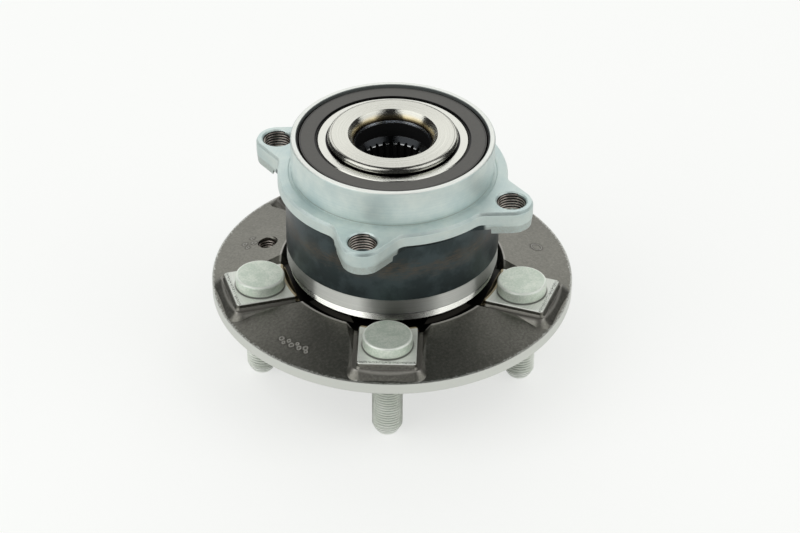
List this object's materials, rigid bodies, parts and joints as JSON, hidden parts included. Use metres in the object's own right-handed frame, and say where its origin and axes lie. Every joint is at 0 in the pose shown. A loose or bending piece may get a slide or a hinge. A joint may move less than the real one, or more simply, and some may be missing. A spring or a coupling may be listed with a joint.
{
  "type": "wheel hub bearing",
  "caption": "Driven wheel hub unit: splined hub with a studded wheel flange turning on angular contact balls in an outer ring with threaded ears and a spigot for the knuckle.",
  "frame": {"origin": "centre of the wheel mounting face, on the spin axis", "axes": "+Z along the spin axis, inboard, from the wheel face towards the knuckle spigot; +X and +Y along the sides of the rectangle of knuckle bolts, +Y along its longer side"},
  "size_m": [0.1516, 0.1516, 0.108],
  "materials": {
    "ring_steel": "satin turned spigot and ears, dark heat-tinted barrel, polished end band",
    "hub_steel": "forged grey flange with machined rim, pads and bore",
    "bearing_steel": "ground",
    "zinc_stud": "zinc plated, faint green",
    "magnet_rubber": "matt",
    "seal_rubber": "matt",
    "stainless_sheet": "satin",
    "cage_polyamide": "moulded",
    "ball_steel": "polished"
  },
  "bodies": {
    "outer_ring": {"outer_ring": "ring_steel", "inboard_seal_case": "stainless_sheet", "inboard_seal_lip": "seal_rubber", "outboard_seal_case": "stainless_sheet", "outboard_seal_lip": "seal_rubber"},
    "hub": {"wheel_hub": "hub_steel", "inner_ring": "bearing_steel", "wheel_stud_1": "zinc_stud", "wheel_stud_2": "zinc_stud", "wheel_stud_3": "zinc_stud", "wheel_stud_4": "zinc_stud", "wheel_stud_5": "zinc_stud", "slinger": "stainless_sheet", "encoder_ring": "magnet_rubber"},
    "outboard_cage": {"outboard_cage": "cage_polyamide"},
    "outboard_ball_01": {"outboard_ball_01": "ball_steel"},
    "outboard_ball_02": {"outboard_ball_02": "ball_steel"},
    "outboard_ball_03": {"outboard_ball_03": "ball_steel"},
    "outboard_ball_04": {"outboard_ball_04": "ball_steel"},
    "outboard_ball_05": {"outboard_ball_05": "ball_steel"},
    "outboard_ball_06": {"outboard_ball_06": "ball_steel"},
    "outboard_ball_07": {"outboard_ball_07": "ball_steel"},
    "outboard_ball_08": {"outboard_ball_08": "ball_steel"},
    "outboard_ball_09": {"outboard_ball_09": "ball_steel"},
    "outboard_ball_10": {"outboard_ball_10": "ball_steel"},
    "outboard_ball_11": {"outboard_ball_11": "ball_steel"},
    "outboard_ball_12": {"outboard_ball_12": "ball_steel"},
    "outboard_ball_13": {"outboard_ball_13": "ball_steel"},
    "outboard_ball_14": {"outboard_ball_14": "ball_steel"},
    "inboard_cage": {"inboard_cage": "cage_polyamide"},
    "inboard_ball_01": {"inboard_ball_01": "ball_steel"},
    "inboard_ball_02": {"inboard_ball_02": "ball_steel"},
    "inboard_ball_03": {"inboard_ball_03": "ball_steel"},
    "inboard_ball_04": {"inboard_ball_04": "ball_steel"},
    "inboard_ball_05": {"inboard_ball_05": "ball_steel"},
    "inboard_ball_06": {"inboard_ball_06": "ball_steel"},
    "inboard_ball_07": {"inboard_ball_07": "ball_steel"},
    "inboard_ball_08": {"inboard_ball_08": "ball_steel"},
    "inboard_ball_09": {"inboard_ball_09": "ball_steel"},
    "inboard_ball_10": {"inboard_ball_10": "ball_steel"},
    "inboard_ball_11": {"inboard_ball_11": "ball_steel"},
    "inboard_ball_12": {"inboard_ball_12": "ball_steel"},
    "inboard_ball_13": {"inboard_ball_13": "ball_steel"},
    "inboard_ball_14": {"inboard_ball_14": "ball_steel"}
  },
  "joints": [
    {"name": "hub_spin", "type": "hinge", "parent": "outer_ring", "child": "hub", "pos_m": [0, 0, 0.0425], "axis": [0, 0, 1], "continuous": true},
    {"name": "outboard_cage_spin", "type": "hinge", "parent": "outer_ring", "child": "outboard_cage", "pos_m": [0, 0, 0.0285], "axis": [0, 0, 1], "continuous": true},
    {"name": "outboard_ball_01_spin", "type": "hinge", "parent": "outboard_cage", "child": "outboard_ball_01", "pos_m": [0.03307, 0.00289, 0.0285], "axis": [-0.6133, -0.0537, 0.788], "continuous": true},
    {"name": "outboard_ball_02_spin", "type": "hinge", "parent": "outboard_cage", "child": "outboard_ball_02", "pos_m": [0.02854, 0.01696, 0.0285], "axis": [-0.5293, -0.3145, 0.788], "continuous": true},
    {"name": "outboard_ball_03_spin", "type": "hinge", "parent": "outboard_cage", "child": "outboard_ball_03", "pos_m": [0.01836, 0.02766, 0.0285], "axis": [-0.3404, -0.513, 0.788], "continuous": true},
    {"name": "outboard_ball_04_spin", "type": "hinge", "parent": "outboard_cage", "child": "outboard_ball_04", "pos_m": [0.00454, 0.03289, 0.0285], "axis": [-0.0842, -0.6099, 0.788], "continuous": true},
    {"name": "outboard_ball_05_spin", "type": "hinge", "parent": "outboard_cage", "child": "outboard_ball_05", "pos_m": [-0.01018, 0.0316, 0.0285], "axis": [0.1888, -0.586, 0.788], "continuous": true},
    {"name": "outboard_ball_06_spin", "type": "hinge", "parent": "outboard_cage", "child": "outboard_ball_06", "pos_m": [-0.02288, 0.02405, 0.0285], "axis": [0.4243, -0.4461, 0.788], "continuous": true},
    {"name": "outboard_ball_07_spin", "type": "hinge", "parent": "outboard_cage", "child": "outboard_ball_07", "pos_m": [-0.03105, 0.01174, 0.0285], "axis": [0.5759, -0.2178, 0.788], "continuous": true},
    {"name": "outboard_ball_08_spin", "type": "hinge", "parent": "outboard_cage", "child": "outboard_ball_08", "pos_m": [-0.03307, -0.00289, 0.0285], "axis": [0.6133, 0.0537, 0.788], "continuous": true},
    {"name": "outboard_ball_09_spin", "type": "hinge", "parent": "outboard_cage", "child": "outboard_ball_09", "pos_m": [-0.02854, -0.01696, 0.0285], "axis": [0.5293, 0.3145, 0.788], "continuous": true},
    {"name": "outboard_ball_10_spin", "type": "hinge", "parent": "outboard_cage", "child": "outboard_ball_10", "pos_m": [-0.01836, -0.02766, 0.0285], "axis": [0.3404, 0.513, 0.788], "continuous": true},
    {"name": "outboard_ball_11_spin", "type": "hinge", "parent": "outboard_cage", "child": "outboard_ball_11", "pos_m": [-0.00454, -0.03289, 0.0285], "axis": [0.0842, 0.6099, 0.788], "continuous": true},
    {"name": "outboard_ball_12_spin", "type": "hinge", "parent": "outboard_cage", "child": "outboard_ball_12", "pos_m": [0.01018, -0.0316, 0.0285], "axis": [-0.1888, 0.586, 0.788], "continuous": true},
    {"name": "outboard_ball_13_spin", "type": "hinge", "parent": "outboard_cage", "child": "outboard_ball_13", "pos_m": [0.02288, -0.02405, 0.0285], "axis": [-0.4243, 0.4461, 0.788], "continuous": true},
    {"name": "outboard_ball_14_spin", "type": "hinge", "parent": "outboard_cage", "child": "outboard_ball_14", "pos_m": [0.03105, -0.01174, 0.0285], "axis": [-0.5759, 0.2178, 0.788], "continuous": true},
    {"name": "inboard_cage_spin", "type": "hinge", "parent": "outer_ring", "child": "inboard_cage", "pos_m": [0, 0, 0.0565], "axis": [0, 0, 1], "continuous": true},
    {"name": "inboard_ball_01_spin", "type": "hinge", "parent": "inboard_cage", "child": "inboard_ball_01", "pos_m": [0.03175, 0.00971, 0.0565], "axis": [0.5888, 0.18, 0.788], "continuous": true},
    {"name": "inboard_ball_02_spin", "type": "hinge", "parent": "inboard_cage", "child": "inboard_ball_02", "pos_m": [0.02439, 0.02252, 0.0565], "axis": [0.4524, 0.4176, 0.788], "continuous": true},
    {"name": "inboard_ball_03_spin", "type": "hinge", "parent": "inboard_cage", "child": "inboard_ball_03", "pos_m": [0.01221, 0.03087, 0.0565], "axis": [0.2264, 0.5725, 0.788], "continuous": true},
    {"name": "inboard_ball_04_spin", "type": "hinge", "parent": "inboard_cage", "child": "inboard_ball_04", "pos_m": [-0.0024, 0.03311, 0.0565], "axis": [-0.0445, 0.6141, 0.788], "continuous": true},
    {"name": "inboard_ball_05_spin", "type": "hinge", "parent": "inboard_cage", "child": "inboard_ball_05", "pos_m": [-0.01653, 0.02879, 0.0565], "axis": [-0.3065, 0.5339, 0.788], "continuous": true},
    {"name": "inboard_ball_06_spin", "type": "hinge", "parent": "inboard_cage", "child": "inboard_ball_06", "pos_m": [-0.02738, 0.01877, 0.0565], "axis": [-0.5078, 0.3481, 0.788], "continuous": true},
    {"name": "inboard_ball_07_spin", "type": "hinge", "parent": "inboard_cage", "child": "inboard_ball_07", "pos_m": [-0.03282, 0.00503, 0.0565], "axis": [-0.6086, 0.0933, 0.788], "continuous": true},
    {"name": "inboard_ball_08_spin", "type": "hinge", "parent": "inboard_cage", "child": "inboard_ball_08", "pos_m": [-0.03175, -0.00971, 0.0565], "axis": [-0.5888, -0.18, 0.788], "continuous": true},
    {"name": "inboard_ball_09_spin", "type": "hinge", "parent": "inboard_cage", "child": "inboard_ball_09", "pos_m": [-0.02439, -0.02252, 0.0565], "axis": [-0.4524, -0.4176, 0.788], "continuous": true},
    {"name": "inboard_ball_10_spin", "type": "hinge", "parent": "inboard_cage", "child": "inboard_ball_10", "pos_m": [-0.01221, -0.03087, 0.0565], "axis": [-0.2264, -0.5725, 0.788], "continuous": true},
    {"name": "inboard_ball_11_spin", "type": "hinge", "parent": "inboard_cage", "child": "inboard_ball_11", "pos_m": [0.0024, -0.03311, 0.0565], "axis": [0.0445, -0.6141, 0.788], "continuous": true},
    {"name": "inboard_ball_12_spin", "type": "hinge", "parent": "inboard_cage", "child": "inboard_ball_12", "pos_m": [0.01653, -0.02879, 0.0565], "axis": [0.3065, -0.5339, 0.788], "continuous": true},
    {"name": "inboard_ball_13_spin", "type": "hinge", "parent": "inboard_cage", "child": "inboard_ball_13", "pos_m": [0.02738, -0.01877, 0.0565], "axis": [0.5078, -0.3481, 0.788], "continuous": true},
    {"name": "inboard_ball_14_spin", "type": "hinge", "parent": "inboard_cage", "child": "inboard_ball_14", "pos_m": [0.03282, -0.00503, 0.0565], "axis": [0.6086, -0.0933, 0.788], "continuous": true}
  ],
  "couplings": [
    {"joint": "outboard_cage_spin", "follows": "hub_spin", "ratio": 0.4294},
    {"joint": "outboard_ball_01_spin", "follows": "hub_spin", "ratio": -2.7326},
    {"joint": "outboard_ball_02_spin", "follows": "hub_spin", "ratio": -2.7326},
    {"joint": "outboard_ball_03_spin", "follows": "hub_spin", "ratio": -2.7326},
    {"joint": "outboard_ball_04_spin", "follows": "hub_spin", "ratio": -2.7326},
    {"joint": "outboard_ball_05_spin", "follows": "hub_spin", "ratio": -2.7326},
    {"joint": "outboard_ball_06_spin", "follows": "hub_spin", "ratio": -2.7326},
    {"joint": "outboard_ball_07_spin", "follows": "hub_spin", "ratio": -2.7326},
    {"joint": "outboard_ball_08_spin", "follows": "hub_spin", "ratio": -2.7326},
    {"joint": "outboard_ball_09_spin", "follows": "hub_spin", "ratio": -2.7326},
    {"joint": "outboard_ball_10_spin", "follows": "hub_spin", "ratio": -2.7326},
    {"joint": "outboard_ball_11_spin", "follows": "hub_spin", "ratio": -2.7326},
    {"joint": "outboard_ball_12_spin", "follows": "hub_spin", "ratio": -2.7326},
    {"joint": "outboard_ball_13_spin", "follows": "hub_spin", "ratio": -2.7326},
    {"joint": "outboard_ball_14_spin", "follows": "hub_spin", "ratio": -2.7326},
    {"joint": "inboard_cage_spin", "follows": "hub_spin", "ratio": 0.4294},
    {"joint": "inboard_ball_01_spin", "follows": "hub_spin", "ratio": -2.7326},
    {"joint": "inboard_ball_02_spin", "follows": "hub_spin", "ratio": -2.7326},
    {"joint": "inboard_ball_03_spin", "follows": "hub_spin", "ratio": -2.7326},
    {"joint": "inboard_ball_04_spin", "follows": "hub_spin", "ratio": -2.7326},
    {"joint": "inboard_ball_05_spin", "follows": "hub_spin", "ratio": -2.7326},
    {"joint": "inboard_ball_06_spin", "follows": "hub_spin", "ratio": -2.7326},
    {"joint": "inboard_ball_07_spin", "follows": "hub_spin", "ratio": -2.7326},
    {"joint": "inboard_ball_08_spin", "follows": "hub_spin", "ratio": -2.7326},
    {"joint": "inboard_ball_09_spin", "follows": "hub_spin", "ratio": -2.7326},
    {"joint": "inboard_ball_10_spin", "follows": "hub_spin", "ratio": -2.7326},
    {"joint": "inboard_ball_11_spin", "follows": "hub_spin", "ratio": -2.7326},
    {"joint": "inboard_ball_12_spin", "follows": "hub_spin", "ratio": -2.7326},
    {"joint": "inboard_ball_13_spin", "follows": "hub_spin", "ratio": -2.7326},
    {"joint": "inboard_ball_14_spin", "follows": "hub_spin", "ratio": -2.7326}
  ]
}
